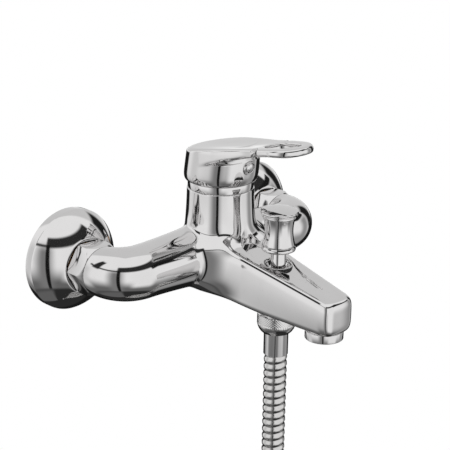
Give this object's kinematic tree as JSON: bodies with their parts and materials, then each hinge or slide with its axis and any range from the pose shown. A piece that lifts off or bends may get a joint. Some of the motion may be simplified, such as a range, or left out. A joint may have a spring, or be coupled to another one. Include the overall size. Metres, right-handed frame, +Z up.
{
  "type": "bath mixer tap",
  "caption": "Wall-mounted single-lever bath mixer in chrome with a finger-loop lever, a pull-up diverter, an aerator spout and a shower hose.",
  "frame": {"origin": "on the wall, midway between the axes of the two wall threads", "axes": "+X right along the wall, +Y into the wall (the spout points to -Y), +Z up"},
  "size_m": [0.2112, 0.1666, 0.4537],
  "materials": {
    "chrome": "bright chrome plating on brass or zinc",
    "hose_metal": "chromed metal spiral hose",
    "brass": "turned brass",
    "steel": "bright steel",
    "rubber": "black rubber",
    "ceramic": "lapped alumina ceramic",
    "white_plastic": "moulded white plastic",
    "grey_plastic": "moulded grey plastic",
    "red_plastic": "moulded red plastic"
  },
  "bodies": {
    "mixer": {"eccentric_union_left": "brass", "eccentric_union_right": "brass", "escutcheon_left": "chrome", "escutcheon_right": "chrome", "union_nut_left": "chrome", "union_nut_right": "chrome", "filter_washer_left": "rubber", "filter_washer_right": "rubber", "inlet_tail_left": "brass", "inlet_tail_right": "brass", "body": "chrome", "port_seals": "rubber", "cartridge_base": "white_plastic", "fixed_disc": "ceramic", "cartridge_housing": "white_plastic", "housing_o_ring": "rubber", "temperature_stop": "red_plastic", "cartridge_nut": "brass", "trim_ring": "chrome", "slide_ring": "white_plastic", "diverter_bonnet": "chrome", "stem_o_ring": "rubber", "bonnet_seal": "rubber", "diverter_spring": "steel", "aerator_housing": "chrome", "aerator_insert": "white_plastic", "aerator_screen": "steel", "aerator_washer": "rubber", "shower_nipple": "chrome", "nipple_o_ring": "rubber", "check_valve_housing": "white_plastic", "check_valve_spring": "steel", "hose_washer_near": "rubber", "hose_nut_near": "chrome", "hose_ferrule_near": "chrome", "hose_free": "hose_metal", "hose_coil": "hose_metal", "hose_tail": "hose_metal", "hose_ferrule_far": "chrome", "hose_washer_far": "rubber", "hose_ties": "rubber"},
    "rotor": {"lever_guide": "grey_plastic", "spindle_pin": "steel"},
    "disc": {"moving_disc": "ceramic", "disc_carrier": "grey_plastic"},
    "lever": {"spindle": "brass", "lever": "chrome", "grub_screw": "steel", "index_button": "chrome"},
    "diverter": {"diverter_knob": "chrome", "diverter_stem": "brass", "diverter_valve": "brass", "upper_valve_seal": "rubber", "lower_valve_seal": "rubber"},
    "check_poppet": {"check_valve_poppet": "grey_plastic"},
    "far_nut": {"hose_nut_far": "chrome"}
  },
  "joints": [
    {"name": "lever_turn", "type": "hinge", "parent": "mixer", "child": "rotor", "pos_m": [0, -0.053, 0.0414], "axis": [0, 0, 1], "range_deg": [-50, 50]},
    {"name": "lever_lift", "type": "hinge", "parent": "rotor", "child": "lever", "pos_m": [0, -0.053, 0.0414], "axis": [-1, 0, 0], "range_deg": [0, 25]},
    {"name": "disc_slide", "type": "slide", "parent": "rotor", "child": "disc", "axis": [0, -1, 0], "range_m": [0, 0.0036]},
    {"name": "diverter_lift", "type": "slide", "parent": "mixer", "child": "diverter", "axis": [0, 0, 1], "range_m": [0, 0.007], "stiffness_N_per_m": 60, "springref_m": -0.02, "deforming": ["diverter_spring"]},
    {"name": "check_open", "type": "slide", "parent": "mixer", "child": "check_poppet", "axis": [0, 0, -1], "range_m": [0, 0.0024], "stiffness_N_per_m": 40, "springref_m": -0.002, "deforming": ["check_valve_spring"]},
    {"name": "far_nut_turn", "type": "hinge", "parent": "mixer", "child": "far_nut", "pos_m": [-0.062, -0.053, -0.35], "axis": [0, 0, 1], "continuous": true}
  ],
  "couplings": [
    {"joint": "disc_slide", "follows": "lever_lift", "m_per_rad": 0.007937}
  ]
}
